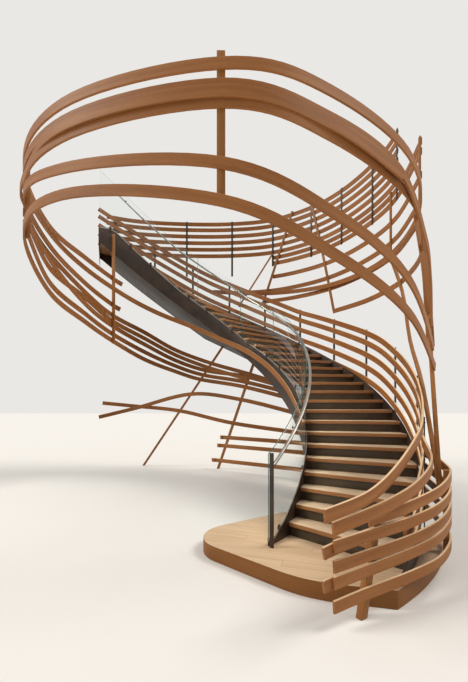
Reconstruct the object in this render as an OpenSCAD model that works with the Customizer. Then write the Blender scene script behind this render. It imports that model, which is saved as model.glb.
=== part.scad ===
// Curved oak and steel stair with a glass side and a guard of bent oak ribbons.
// Millimetres, +Z up. The origin is on the floor, at the middle of the base plate
// under the first riser. The flight starts at the front and climbs counter-clockwise.

/* [Flight] */
// Height of one rise
rise = 165; // [150:1:180]
// Number of rises above the entry platform, the last one is the landing
steps = 33; // [30:1:34]
// Turn of one step about the axis, degrees
turn = 4.67; // [4.4:0.01:4.9]
// Azimuth of the edge of the platform's rise at the inner side, degrees
start = -37.6; // [-42:0.1:-34]
// Lag of each nosing at the outer side, degrees
lag = 4.3; // [0:0.1:8]
// Radius of the inner ends of the treads
r_in = 2700; // [2600:10:2800]
// Clear width of the flight
flight_w = 1400; // [1300:10:1500]
// Thickness of a tread
tread_t = 50; // [30:1:70]
// Overhang of the nosing in front of the riser
nosing = 30; // [10:1:40]
// Thickness of a riser plate
riser_t = 8; // [4:1:15]

/* [Steelwork] */
// Thickness of the stringer plates
plate_t = 12; // [8:1:20]
// Height of the stringers above the nosing line
lip = 20; // [10:1:60]
// Depth of the inner stringer below the nosing line
inner_d = 480; // [420:10:560]
// Depth of the outer stringer below the nosing line where it is deepest
outer_d = 1000; // [800:10:1100]
// Thickness of the soffit plate
soffit_t = 6; // [4:1:12]
// Height of the flange that is bolted to the upper floor
flange_h = 300; // [240:10:400]
// Diameter of the circle of the flange bolts, and of their holes
bolt_circle = 160; // [120:10:180]
bolt_d = 18; // [12:1:22]
// Length and width of the base plate
base_l = 1300; // [1200:10:1340]
base_w = 240; // [160:10:300]

/* [Glass side] */
// Height of the glass above the stringer
glass_h = 1060; // [900:10:1150]
// Height of the middle of the handrail above the stringer
rail_h = 930; // [850:10:1000]
// Diameter of the handrail
rail_d = 44; // [30:1:60]
// Distance from the glass to the middle of the handrail
rail_off = 60; // [45:1:90]
// Gap between two panels of glass
glass_gap = 8; // [4:1:20]

/* [Oak ribbons] */
// Width of a ribbon
rib_w = 100; // [80:1:120]
// Thickness of a ribbon
rib_t = 22; // [16:1:30]
// Width and thickness of a steel guard post
post_w = 50; // [30:1:80]
post_t = 12; // [8:1:20]
// Side of the square oak props
prop_w = 60; // [45:1:80]
// Width and thickness of the slanted laths
lath_w = 60; // [40:1:80]
lath_t = 25; // [18:1:35]

/* [Entry platform] */
// Radius of the wide round at the outer side
plat_r = 1190; // [1150:10:1300]
// Radius of the small round at the inner side
plat_small_r = 480; // [440:10:600]
// Radius of the slack curve at the outer side
plat_slack_r = 4470; // [4460:5:4490]

/* [Rim] */
// Half width and half depth of the floor opening
rim_a = 2980; // [2900:10:3050]
rim_b = 3520; // [3450:10:3600]
// Height of the guard on the upper floor
rim_guard_h = 1020; // [950:10:1150]

/* [Hidden] */
r_out = r_in + flight_w;
r_mid = r_in + flight_w / 2;
top_z = rise * (steps + 1);
seat = 0.3;
pocket = 1;
oak = [0.71, 0.54, 0.37];
steel = [0.22, 0.18, 0.15];
bright = [0.75, 0.74, 0.72];
r_rib = r_out + plate_t + post_t + rib_t / 2 - seat;
r_under = r_in - plate_t - rib_t / 2 - 1;
r_rail = r_in - plate_t + rail_off;
glass_face = r_in - 2 * seat;
beside_prop = (prop_w + rib_t) / 2 - seat;

// Degrees that a length takes on the walking line.
function deg(len) = len / r_mid * 180 / PI;
function spoke(r, a) = [r * cos(a), r * sin(a), 0];

// The axis of the flight, seen from the middle of the base plate.
foot_az = start + turn + deg(nosing + riser_t / 2);
axis = -(spoke(r_in, foot_az) + spoke(r_out, foot_az - lag)) / 2;

// A point given by its distance from the axis, its azimuth and its height.
function pol(r, a, z = 0) = axis + spoke(r, a) + [0, 0, z];

// The opening is an oval, and a point on its rim has an azimuth about its middle.
rim_mid = [1470, 640];
function rim(a, z, out = 0) = axis
  + [rim_mid[0] + (rim_a + out) * cos(a), rim_mid[1] + (rim_b + out) * sin(a), z];

// Height of the nosing line at the inner and the outer side.
function z_in(a) = rise * ((a - start) / turn + 1);
function z_out(a) = rise * ((a - start + lag) / turn + 1);

// The sides of the flight swing about the nosing line, here by the number of the step.
function swing(k, low) = lookup(k, [[4, low], [11, 70], [18, -150], [26, -150], [32, 20]]);
function side_in(a) = z_in(a) + lip + swing((a - start) / turn, 100);
function side_out(a) = z_out(a) + swing((a - start + lag) / turn, 10);
function belly(a) = z_out(a) - lookup((a - start + lag) / turn,
  [[0, 300], [8, 500], [16, outer_d], [26, outer_d], [31, 0.6 * outer_d], [34, 350]]);

function unit(v) = v / norm(v);
function along(p, q, t) = p + (q - p) * t;
// The point of a straight piece at a height.
function at_height(p, q, z) = along(p, q, (z - p[2]) / (q[2] - p[2]));

// Smooth curve through stations, n pieces between two of them.
function knot(p, q, r, s, t) = 0.5 * (2 * q + (r - p) * t + (2 * p - 5 * q + 4 * r - s) * t * t
  + (3 * q - p - 3 * r + s) * t * t * t);
function curve(st, n = 4) = concat([for (i = [0 : len(st) - 2]) for (j = [0 : n - 1])
  knot(st[max(i - 1, 0)], st[i], st[i + 1], st[min(i + 2, len(st) - 1)], j / n)], [st[len(st) - 1]]);

// Direction of a path, and the level direction to its right.
function heading(path, i) = unit(path[min(i + 1, len(path) - 1)] - path[max(i - 1, 0)]);
function right_of(path, i) = unit(cross(heading(path, i), [0, 0, 1]));

// Closed skin over a list of rings with the same number of points.
module skin(rings) {
  m = len(rings[0]);
  n = len(rings);
  points = [for (g = rings) for (p = g) p];
  sides = [for (i = [0 : n - 2]) for (j = [0 : m - 1]) for (h = [0, 1])
    let (a = i * m + j, b = i * m + (j + 1) % m)
    h == 0 ? [a, b, b + m] : [a, b + m, a + m]];
  first = [[for (j = [0 : m - 1]) (m - j) % m]];
  last = [[for (j = [0 : m - 1]) (n - 1) * m + j]];
  polyhedron(points = points, faces = concat(first, sides, last), convexity = 10);
}

// Ribbon of rectangular section bent along a path, its face turned to the side.
module ribbon(path, w = rib_w, t = rib_t) {
  skin([for (i = [0 : len(path) - 1])
    let (s = right_of(path, i) * t / 2, u = unit(cross(s, heading(path, i))) * w / 2, p = path[i])
    [p - s - u, p + s - u, p + s + u, p - s + u]]);
}

// Band that stands upright and follows the flight, one ring for each azimuth.
module band(azimuths, r0, r1, low, high) {
  skin([for (i = [0 : len(azimuths) - 1]) let (a = azimuths[i])
    [pol(r0, a, low[i]), pol(r1, a, low[i]), pol(r1, a, high[i]), pol(r0, a, high[i])]]);
}

// Upright bar, its first side turned to an azimuth.
module upright(p, top, w, t, az) {
  translate(p)
    rotate([0, 0, az])
      translate([-w / 2, -t / 2, 0])
        cube([w, t, top - p[2]]);
}

// Leaning bar that ends level, its first side turned to an azimuth.
module leaning(p, q, w, t, az) {
  side = w / 2 * spoke(1, az);
  face = t / 2 * spoke(1, az + 90);
  skin([for (c = [p, q]) [c - side - face, c - side + face, c + side + face, c + side - face]]);
}

// Nosing line of a step as points, moved back by a length and drawn out.
function line_end(k, back, t) = let (a = start + k * turn + deg(back),
  v = along(pol(r_in, a), pol(r_out, a - lag), t)) [v[0], v[1]];

// Plan of a strip of one step between two lines, cut to the width of the flight.
module strip(k0, back0, k1, back1) {
  intersection() {
    translate([axis[0], axis[1]])
      difference() {
        circle(r = r_out, $fn = 360);
        circle(r = r_in - seat, $fn = 360);
      }
    polygon([line_end(k0, back0, -0.1), line_end(k0, back0, 1.1),
             line_end(k1, back1, 1.1), line_end(k1, back1, -0.1)]);
  }
}

module treads(first, last) {
  for (k = [first : last])
    translate([0, 0, (k + 1) * rise - tread_t])
      linear_extrude(tread_t)
        strip(k, 0, k + 1, nosing + riser_t);
}

module risers(first, last) {
  for (k = [first : last])
    translate([0, 0, k * rise])
      linear_extrude(rise - tread_t)
        strip(k, nosing, k, nosing + riser_t);
}

foot_line = line_end(1, nosing, 1) - line_end(1, nosing, 0);
foot_turn = atan2(foot_line[1], foot_line[0]);

// Plate and web, grown by a clearance where the platform makes room for them.
module base_shape(grow) {
  rotate([0, 0, foot_turn])
    translate([-base_l / 2 - grow, -base_w / 2 - grow, -grow])
      cube([base_l + 2 * grow, base_w + 2 * grow, plate_t + 2 * grow]);
  rotate([0, 0, foot_turn])
    translate([-base_l / 2 - grow, -riser_t / 2 - grow, 0])
      cube([base_l + 2 * grow, riser_t + 2 * grow, rise + grow]);
}

module base_plate() {
  color(steel) base_shape(0);
}

// Two rounds and the straight edges that touch both. On the outer side a sharp corner
// stands out, and from there the edge follows the ribbons in a slack curve.
module entry_platform() {
  wide = pol(3244, -28.5);
  small = pol(2263, -40.5);
  d = wide - small;
  side = acos((plat_small_r - plat_r) / norm(d));
  ends = [for (q = [1, -1]) spoke(1, atan2(d[1], d[0]) + q * side)];
  corners = [small + plat_small_r * ends[0], small + plat_small_r * ends[1],
             wide + plat_r * ends[1], wide + plat_r * ends[0]];
  corner = pol(4124, -42.94);
  slack = axis + [226, 678, 0];
  toe = corner - wide;
  touch = wide + plat_r * spoke(1, atan2(toe[1], toe[0]) - acos(plat_r / norm(toe)));
  wing = [wide, touch, corner, pol(4500, -36), pol(4600, -22), pol(4430, -17.5), pol(3700, -17.5)];
  color(oak)
    difference() {
      linear_extrude(rise)
        intersection() {
          translate([slack[0], slack[1]])
            circle(r = plat_slack_r, $fn = 360);
          union() {
            translate([wide[0], wide[1]])
              circle(r = plat_r, $fn = 180);
            translate([small[0], small[1]])
              circle(r = plat_small_r, $fn = 180);
            polygon([for (c = corners) [c[0], c[1]]]);
            polygon([for (c = wing) [c[0], c[1]]]);
          }
        }
      base_shape(pocket);
    }
}

module lower_treads() {
  color(oak) treads(1, 11);
}

module middle_treads() {
  color(oak) treads(12, 22);
}

module upper_treads() {
  color(oak) treads(23, steps);
}

module lower_risers() {
  color(steel) risers(1, 11);
}

module middle_risers() {
  color(steel) risers(12, 22);
}

module upper_risers() {
  color(steel) risers(23, steps);
}

// Both stringers end behind the last full step, with the landing flange between them.
flange_back = nosing + riser_t;
last_az = start + (steps + 1) * turn + deg(flange_back);
flight_az = concat([for (k = [-1 : 0.5 : steps + 1]) start + k * turn], [last_az]);

module inner_stringer() {
  az = flight_az;
  color(steel)
    band(az, r_in - plate_t, r_in,
      [for (a = az) max(rise, z_in(a) - inner_d)],
      [for (a = az) min(max(rise + 60, side_in(a)), top_z)]);
}

module outer_stringer() {
  az = concat([for (k = [0 : 0.5 : steps + 1]) start + k * turn - lag], [last_az - lag]);
  color(steel)
    band(az, r_out, r_out + plate_t,
      [for (a = az) max(rise, belly(a))],
      [for (a = az) min(max(rise + 60, z_out(a) + lip), top_z)]);
}

// Warped plate that closes the underside from one stringer to the other.
module soffit_plate() {
  az = [for (k = [5 : 0.5 : steps]) start + k * turn];
  edge = 10;
  color(steel)
    skin([for (a = az) let (low = z_in(a) - inner_d + edge, far = belly(a - lag) + edge)
      [pol(r_in, a, low), pol(r_out, a - lag, far),
       pol(r_out, a - lag, far + soffit_t), pol(r_in, a, low + soffit_t)]]);
}

// Plate between the stringers that is bolted to the edge of the upper floor.
module landing_flange() {
  p = line_end(steps + 1, flange_back, 0);
  q = line_end(steps + 1, flange_back, 1);
  long = norm(q - p);
  low = top_z - tread_t - flange_h;
  color(steel)
    translate([p[0], p[1], low])
      rotate([0, 0, atan2(q[1] - p[1], q[0] - p[0])])
        difference() {
          translate([-seat, -plate_t, 0])
            cube([long + 2 * seat, plate_t, flange_h]);
          for (x = [0.25, 0.75])
            for (s = [45 : 90 : 315])
              translate([x * long + bolt_circle / 2 * cos(s), 1,
                         flange_h / 2 + bolt_circle / 2 * sin(s)])
                rotate([90, 0, 0])
                  cylinder(d = bolt_d, h = plate_t + 2, $fn = 48);
        }
}

// Numbers of the steps at which one panel of glass ends and the next starts.
glass_joints = [-1, 4.5, 9.5, 14.5, 19, 24, 30, 34];

module glass_panels() {
  gap = deg(glass_gap) / turn / 2;
  color([0.6, 0.75, 0.72, 0.4])
    for (g = [0 : len(glass_joints) - 2]) {
      first = glass_joints[g];
      last = glass_joints[g + 1];
      ks = concat([first + gap], [for (k = [first + 0.5 : 0.5 : last - 0.5]) k], [last - gap]);
      az = [for (k = ks) start + k * turn];
      band(az, r_in - plate_t, glass_face,
        [for (a = az) min(max(rise + 60, side_in(a)), top_z) - seat],
        [for (a = az) max(rise + glass_h - 30, side_in(a) + glass_h)]);
    }
}

// Clamp plates on the void side, two to a panel, from the stringer up onto the glass.
module glass_clamps() {
  color(bright)
    for (g = [0 : len(glass_joints) - 2])
      for (k = [glass_joints[g] + 1, glass_joints[g + 1] - 1]) {
        a = start + k * turn;
        z = min(max(rise + 60, side_in(a)), top_z);
        upright(pol(r_in - plate_t - 4 + seat, a, z - 55), z + 70, 8, 50, a);
      }
}

function rail_z(a) = max(rise + 900, side_in(a) + rail_h);

module handrail() {
  az = [for (k = [-1 : 0.5 : steps]) start + k * turn];
  color(bright)
    skin([for (a = az) [for (j = [0 : 11])
      pol(r_rail + rail_d / 2 * cos(j * 30 + 15), a, rail_z(a) + rail_d / 2 * sin(j * 30 + 15))]]);
}

// Short pins that carry the handrail from the glass.
module rail_brackets() {
  flat = rail_d / 2 * cos(15);
  color(bright)
    for (k = [1.5 : 3 : 32]) {
      a = start + k * turn;
      translate(pol(glass_face - seat, a, rail_z(a)))
        rotate([0, 90, a]) {
          cylinder(r = 20, h = 6, $fn = 32);
          cylinder(r = 7, h = r_rail - flat - glass_face + 2 * seat, $fn = 24);
        }
    }
}

// Slim post on the platform in which the handrail ends.
module end_post() {
  a = start - turn;
  color(steel)
    translate(pol(r_rail, a, rise))
      rotate([0, 0, a])
        translate([-25, -16 + seat, 0])
          cube([50, 16, 1045]);
}

post_k = [for (k = [3 : 3 : 33]) k];
function post_az(k) = start - lag + k * turn;

// Steel posts on the outer stringer. Two of them run down to carry the low ribbons.
module guard_posts() {
  color(steel)
    for (k = post_k) {
      a = post_az(k);
      low = k >= 9 && k <= 12 ? z_out(a) - 1150 : z_out(a) - 320;
      upright(pol(r_out + plate_t - seat + post_t / 2, a, max(low, rise + 30)),
        side_out(a) + 940, post_t, post_w, a);
    }
}

// Guard ribbon: sweeps in from the entry, then follows the posts up past the last one.
function guard_path(off, front) = curve(concat(front,
  [for (k = concat(post_k, [34.2])) pol(r_rib, post_az(k), side_out(post_az(k)) + off)]), 6);

module guard_ribbon_1() {
  color(oak)
    ribbon(guard_path(880, [pol(r_rib, -57, 990), pol(r_rib, -50, 1050),
      pol(r_rib, -43.6, 1190), pol(r_rib, -35, 1400)]));
}

module guard_ribbon_2() {
  color(oak)
    ribbon(guard_path(700, [pol(r_rib - 25, -55.5, 878), pol(r_rib + 50, -48, 960),
      pol(r_rib + 110, -41, 1050), pol(r_rib + 120, -34, 1180)]));
}

module guard_ribbon_3() {
  color(oak)
    ribbon(guard_path(480, [pol(r_rib, -41.2, 800), pol(r_rib, -36, 900)]));
}

module guard_ribbon_4() {
  color(oak)
    ribbon(guard_path(250, [pol(r_rib, -41, 600), pol(r_rib, -36, 690)]));
}

module guard_ribbon_5() {
  color(oak)
    ribbon(guard_path(20, [pol(r_rib, -40, 440), pol(r_rib, -35, 500)]));
}

// The low ribbons share one plan round the entry and are carried by two oak posts.
foot_post_az = -47.6;
side_post_az = -27;
entry_plan = [[3940, -52.5], [4010, foot_post_az], [4190, -40], [4330, -34], [4400, side_post_az],
  [4356, -22], [4299, -17.7], [4243, -13.5], [4170, -6.9], [r_rib, post_az(9)]];
function entry(i, z) = pol(entry_plan[i][0], entry_plan[i][1], z);

// Stations from one entry station on, one for each height.
function entry_run(first, heights) = [for (i = [0 : len(heights) - 1]) entry(first + i, heights[i])];

module entry_ribbons() {
  color(oak) {
    ribbon(curve(concat([pol(4015, -47.2, 803), pol(4100, -43.7, 832)],
      entry_run(2, [864, 928, 990, 1030, 1065, 1105, 1190, 1285])), 4));
    ribbon(curve(entry_run(0, [655, 680, 722, 772, 815, 855, 890, 930, 1030, 1140]), 4));
    ribbon(curve(entry_run(0, [500, 520, 565, 615, 660, 695, 725, 770, 885, 1005]), 4));
  }
}

// Reach of a square prop towards a face that it does not stand square to.
function reach(d, w = prop_w, t = prop_w) = w / 2 * cos(d) + t / 2 * sin(d);
function prop_head(az, d) = pol(r_out + plate_t + reach(d) - seat, az, belly(az) + 130);

// Foot, head and facing of the square props that carry the ribbons behind the flight.
prop_1 = [axis + [-1040, 4690, 0], prop_head(72, 8), 80];
prop_2 = [axis + [1092, 4152, 0], prop_head(60, 2), 62];
prop_3 = [pol(4420, 34, 0), prop_head(49, 2), 51];

// Ribbon station on the near side of a leaning prop, at a height.
function inside(prop, z) = at_height(prop[0], prop[1], z) - beside_prop * spoke(1, prop[2]);

// The right prop leans on the side post of the entry and carries the ends of the loops.
side_lath = 45;
right_az = -17;
right_foot = 4400 - rib_t / 2 - prop_w - reach(8, side_lath, side_lath) + 2 * seat;
right_prop = [pol(right_foot, side_post_az - 0.6, 800), axis + [4166, -1010, 3000]];
function outside_right(z) = at_height(right_prop[0], right_prop[1], z)
  + ((side_lath + rib_t) / 2 - seat) * spoke(1, right_az);

// Upright hangers: at the front of the loops, at their left, and at the landing.
left_az = 214;
front_az = 271;
end_out = 154;
end_az = 115.2;
end_w = 45;
end_hanger = pol(r_in - plate_t - reach(end_out - end_az, prop_w, end_w) + seat, end_az);
function at_end_hanger(z) = end_hanger + beside_prop * spoke(1, end_out) + [0, 0, z];

low_1 = curve(concat(entry_run(0, [375, 400, 450, 490, 528, 555, 578, 620, 745, 875]),
  [pol(r_rib, post_az(12), 1210), pol(r_rib + 8, 26, 1560), pol(4150, 38, 1920),
  inside(prop_2, 2420), inside(prop_1, 2620), rim(118, 2870, 150), rim(134, 3185, 60),
  at_end_hanger(3480), rim(165, 3740), rim(185, 4150), rim(left_az, 4270), rim(240, 4000),
  rim(front_az, 3740, 30), rim(290, 3370, 110), rim(307, 2970, 150), outside_right(2460)]), 4);

low_2 = curve(concat(entry_run(0, [190, 215, 245, 262, 280, 322, 370, 425, 585, 745]),
  [pol(r_rib, post_az(12), 1060), pol(r_rib + 8, 26, 1380), pol(4150, 38, 1720),
  inside(prop_2, 2170), inside(prop_1, 2390), rim(118, 2580, 150), rim(134, 2820, 60),
  at_end_hanger(3150), rim(165, 3380), rim(185, 3600), rim(left_az, 3850), rim(240, 3750),
  rim(front_az, 3430, 30), rim(290, 3020, 110), rim(307, 2640, 150), outside_right(2200)]), 4);

module low_ribbon_1() {
  color(oak) ribbon(low_1);
}

module low_ribbon_2() {
  color(oak) ribbon(low_2);
}

// The foot post leans along the ribbons, the side post stands upright on the platform.
module entry_posts() {
  foot = pol(4007 - rib_t / 2 - prop_w / 2, foot_post_az, 0);
  lean = foot + 190 * spoke(1, foot_post_az + 77) + [0, 0, 900];
  color(oak) {
    leaning(foot, lean, prop_w, 75, foot_post_az - 10);
    upright(pol(4400 - rib_t / 2 - prop_w / 2 + seat, side_post_az, rise - seat), 1045,
      prop_w, 80, side_post_az - 1);
  }
}

module whirl_ribbon_1() {
  color(oak)
    ribbon(curve([rim(100, 4720, -17), rim(70, 4640, -17), rim(40, 4520, -17), rim(10, 4430, -61),
      rim(340, 4400, -50), rim(315, 4450), rim(290, 4530), rim(front_az, 4560, 30), rim(240, 4620),
      rim(left_az, 4690), rim(185, 4700), rim(165, 4660), at_end_hanger(4540)]));
}

module whirl_ribbon_2() {
  color(oak)
    ribbon(curve([outside_right(2760) + 2 * spoke(1, right_az), rim(330, 3250, 100),
      rim(322, 3700, 60), rim(308, 4130, 30), rim(290, 4290), rim(front_az, 4385, 30), rim(240, 4450),
      rim(left_az, 4540), rim(185, 4600), rim(165, 4450), pol(2650, 110, 4170), pol(2650, 95, 3830),
      pol(2660, 76, 3470), pol(r_under, 62, 3165), pol(r_under, 48, 2870), pol(r_under, 34, 2500),
      pol(r_under, 20, 2060), pol(2662, 6, 1640), pol(2650, -7, 1430)]));
}

module whirl_ribbon_3() {
  color(oak)
    ribbon(curve([rim(37, 3880, -17), rim(20, 3870), rim(4, 3860, 12), rim(352, 3860, 12),
      rim(337, 3880), rim(315, 4000), rim(290, 4130), rim(front_az, 4240, 30), rim(240, 4300),
      rim(left_az, 4390), rim(185, 4380), rim(165, 4150), at_end_hanger(3950)]));
}

// The guard of the upper floor starts beside the flight's guard and follows the opening.
r_edge = r_rib + rib_t + 14;
rim_stations = [pol(r_edge, 115, 0), pol(r_edge, 103.5, 0), axis + [250, rim_mid[1] + rim_b + 40, 0],
  rim(90, 0, 30), rim(69, 0, 30), rim(49, 0, 30), rim(33, 0, 30), rim(16, 0, 30),
  rim(1, 0, 30), rim(341, 0, 30)];
rim_last = 4 * (len(rim_stations) - 2);
rim_path = curve(rim_stations, 4);
// The path runs clockwise, so its right side is the inner one.
function on_rim(i, z, inner) = rim_path[i] + inner * right_of(rim_path, i) + [0, 0, z];
function rim_az(i) = let (s = right_of(rim_path, i)) atan2(-s[1], -s[0]);

module rim_ribbons_upper() {
  color(oak)
    for (z = [110, 285, 460, 635, 810, 965])
      ribbon([for (i = [0 : rim_last]) rim_path[i] + [0, 0, top_z + z]]);
}

// Rows under the floor, each with the number of the piece at which it starts.
lower_rows = [[-35, 16], [-180, 16], [-530, 16], [-890, 13], [-1160, 15]];

module rim_ribbons_lower() {
  color(oak)
    for (row = lower_rows)
      ribbon([for (i = [row[1] : len(rim_path) - 1]) rim_path[i] + [0, 0, top_z + row[0]]]);
}

// How far each post runs down under the floor, to the lower rows where there are any.
rim_reach = [0, 450, 450, 450, 260, 260, 260, 260, 260];

// Posts on the inner face of the ribbons.
module rim_posts() {
  inner = (rib_t + post_t) / 2 - seat;
  color(steel)
    for (n = [2 : len(rim_stations) - 2])
      upright(on_rim(4 * n, top_z - rim_reach[n], inner), top_z + rim_guard_h,
        post_t, post_w, rim_az(4 * n));
}

// Slanted and upright laths on the inner face of the ribbons of the rim.
module rim_laths() {
  inner = (rib_t + lath_t) / 2 - seat;
  color(oak) {
    ribbon([for (j = [0 : 3]) on_rim(18 - j, top_z + 1040 - 750 * j, inner)], lath_w, lath_t);
    ribbon([for (j = [0 : 3]) on_rim(20 + j, top_z + 1100 - 945 * j,
      inner + max(0, 1 - j) * (post_t + 2))], lath_w, lath_t);
    for (i = [31, 36])
      upright(on_rim(i, top_z - 1230, inner), top_z + 20, lath_t, lath_w, rim_az(i));
    leaning(pol(r_rib + (rib_t + lath_t) / 2 - seat, 66.6, 4250),
      on_rim(16, top_z + 60, inner + post_t - seat), lath_t, 45, 68);
  }
}

module front_hanger() {
  color(oak)
    upright(rim(front_az, 3390, 30) - (beside_prop + 1.5) * spoke(1, front_az), 4680,
      prop_w, 70, front_az);
}

module left_hangers() {
  color(oak) {
    upright(rim(left_az, 3810) - beside_prop * spoke(1, 210), 4780, prop_w, 50, 210);
    upright(end_hanger + [0, 0, 3080], 5500, prop_w, end_w, end_out);
  }
}

module right_props() {
  low = pol(right_foot, side_post_az + 0.6, 800);
  in_lath = (rib_t + side_lath) / 2 + lath_t - 2 * seat;
  color(oak) {
    leaning(right_prop[0], right_prop[1], side_lath, side_lath, right_az);
    ribbon(curve([low, axis + [4060, -1090, 1970], axis + [4275, -240, 2720], axis + [4410, 360, 3650],
      on_rim(31, top_z - 1100, in_lath)]), side_lath, side_lath);
  }
}

module back_props() {
  color(oak)
    for (p = [prop_1, prop_2, prop_3])
      leaning(p[0], p[1], prop_w, prop_w, p[2]);
}

// Rows on the near side of the props, from the open back to a third prop under the flight.
module lattice_ribbons() {
  color(oak) {
    ribbon(curve([axis + [-2060, 4300, 1760], axis + [-1300, 4500, 1680], inside(prop_1, 1548),
      inside(prop_2, 1236), inside(prop_3, 1050)]));
    ribbon(curve([axis + [-2110, 4160, 1380], axis + [-1190, 4440, 1620], inside(prop_1, 2000),
      inside(prop_2, 1850), inside(prop_3, 1500)]));
    for (z = [230, 630, 850])
      ribbon(curve([inside(prop_2, z) - [150, -60, 0], inside(prop_2, z), inside(prop_3, z - 20)]));
  }
}

base_plate();
entry_platform();
lower_treads();
middle_treads();
upper_treads();
lower_risers();
middle_risers();
upper_risers();
inner_stringer();
outer_stringer();
soffit_plate();
landing_flange();
glass_panels();
glass_clamps();
handrail();
rail_brackets();
end_post();
guard_ribbon_1();
guard_ribbon_2();
guard_ribbon_3();
guard_ribbon_4();
guard_ribbon_5();
guard_posts();
entry_ribbons();
entry_posts();
low_ribbon_1();
low_ribbon_2();
whirl_ribbon_1();
whirl_ribbon_2();
whirl_ribbon_3();
front_hanger();
left_hangers();
rim_ribbons_upper();
rim_ribbons_lower();
rim_posts();
rim_laths();
right_props();
back_props();
lattice_ribbons();
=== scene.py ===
import itertools
import math

import bmesh
import bpy
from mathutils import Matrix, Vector


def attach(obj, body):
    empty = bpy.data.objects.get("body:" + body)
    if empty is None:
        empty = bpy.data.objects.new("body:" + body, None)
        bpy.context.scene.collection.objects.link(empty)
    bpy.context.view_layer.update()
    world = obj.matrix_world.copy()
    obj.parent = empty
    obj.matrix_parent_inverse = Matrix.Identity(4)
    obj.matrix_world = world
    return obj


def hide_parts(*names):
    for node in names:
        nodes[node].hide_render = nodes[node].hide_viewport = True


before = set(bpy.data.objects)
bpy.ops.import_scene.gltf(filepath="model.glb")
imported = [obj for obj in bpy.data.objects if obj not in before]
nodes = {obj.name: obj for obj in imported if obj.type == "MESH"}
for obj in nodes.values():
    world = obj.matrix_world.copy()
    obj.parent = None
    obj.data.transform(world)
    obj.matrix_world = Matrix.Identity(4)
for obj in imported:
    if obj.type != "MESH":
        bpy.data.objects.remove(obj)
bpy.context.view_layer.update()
bpy.context.scene.view_settings.view_transform = "Standard"

# Base plate: the steel plate and upright web under the first riser that hold the flight
# on the floor. Hot rolled steel, browned with patina and waxed, with cloudy patches and
# fine scratches. The stringers, clamps and posts have the same finish.


class Field:
    """A colour or number on its way through a material's nodes."""

    def __init__(self, tree, socket=None):
        self.tree = tree
        self.socket = socket

    def node(self, kind, settings=None, inputs=None, out=0):
        n = self.tree.nodes.new(kind)
        for key, value in (settings or {}).items():
            if key == "stops":
                ramp = n.color_ramp
                while len(ramp.elements) < len(value):
                    ramp.elements.new(0.5)
                for element, (place, colour) in zip(ramp.elements, value):
                    element.position = place
                    element.color = colour
            else:
                setattr(n, key, value)
        for key, value in (inputs or {}).items():
            if isinstance(value, Field):
                self.tree.links.new(value.socket, n.inputs[key])
            else:
                n.inputs[key].default_value = value
        return Field(self.tree, n.outputs[out])

    def math(self, operation, *values):
        return self.node("ShaderNodeMath", {"operation": operation}, dict(enumerate(values)))

    def __add__(self, other):
        return self.math("ADD", self, other)

    def __radd__(self, other):
        return self.math("ADD", other, self)

    def __sub__(self, other):
        return self.math("SUBTRACT", self, other)

    def __rsub__(self, other):
        return self.math("SUBTRACT", other, self)

    def __mul__(self, other):
        return self.math("MULTIPLY", self, other)

    def __truediv__(self, other):
        return self.math("DIVIDE", self, other)

    def __pow__(self, other):
        return self.math("POWER", self, other)

    def floor(self):
        return self.math("FLOOR", self)

    def sine(self):
        return self.math("SINE", self)

    def size(self):
        """The number without its sign."""
        return self.math("ABSOLUTE", self)

    def between(self, low, high):
        """0 at low, 1 at high, with a soft step between them."""
        return self.node(
            "ShaderNodeMapRange",
            {"interpolation_type": "SMOOTHSTEP", "clamp": True},
            {"Value": self, "From Min": low, "From Max": high},
        )

    def paint(self, colour):
        """One even colour, as a start for blends."""
        even = self.node("ShaderNodeRGB")
        even.socket.default_value = colour
        return even

    def blend(self, other, share):
        """This colour, with the other one laid over it in that share."""
        return self.node(
            "ShaderNodeMix",
            {"data_type": "RGBA"},
            {"Factor": share, "A": self, "B": other},
            2,
        )

    def axes(self):
        split = self.node("ShaderNodeSeparateXYZ", {}, {"Vector": self})
        outs = split.socket.node.outputs
        return [Field(self.tree, o) for o in outs]

    def point(self, x, y, z):
        return self.node("ShaderNodeCombineXYZ", {}, {"X": x, "Y": y, "Z": z})

    def place(self):
        """Where a point of the piece is, in metres."""
        return self.node("ShaderNodeTexCoord", out="Object")

    def cloud(self, place, size, detail=4.0, rough=0.55):
        return self.node(
            "ShaderNodeTexNoise",
            {"noise_dimensions": "3D"},
            {"Vector": place, "Scale": 1.0 / size, "Detail": detail, "Roughness": rough},
        )


def srgb(red, green, blue):
    """A colour as seen on a screen, 0 to 255, as the shader takes it."""
    return tuple(
        c / 255 / 12.92 if c < 10 else ((c / 255 + 0.055) / 1.055) ** 2.4
        for c in (red, green, blue)
    ) + (1.0,)


def new_finish(name):
    material = bpy.data.materials.new(name)
    material.use_nodes = True
    shader = material.node_tree.nodes["Principled BSDF"]
    return material, shader, Field(material.node_tree)


def feed(shader, socket, field):
    field.tree.links.new(field.socket, shader.inputs[socket])


def bump(shader, height, depth, strength):
    relief = {"Height": height, "Distance": depth, "Strength": strength}
    feed(shader, "Normal", height.node("ShaderNodeBump", {}, relief))


def browned_steel(name, deep, pale, metallic):
    """Rolled steel with a brown patina, paler in patches and along fine streaks."""
    material, shader, f = new_finish(name)
    patches = f.cloud(f.place(), 0.42, 5.0, 0.6).between(0.34, 0.72)
    streaks = f.cloud(f.place(), 0.05, 6.0, 0.7)
    scratch = f.cloud(f.place(), 0.006, 3.0, 0.5)
    feed(shader, "Base Color", f.paint(deep).blend(pale, patches * 0.75 + streaks * 0.3))
    feed(shader, "Roughness", 0.34 + patches * 0.16 + scratch * 0.12)
    shader.inputs["Metallic"].default_value = metallic
    bump(shader, streaks + scratch * 0.3, 0.0006, 0.35)
    return material


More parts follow.
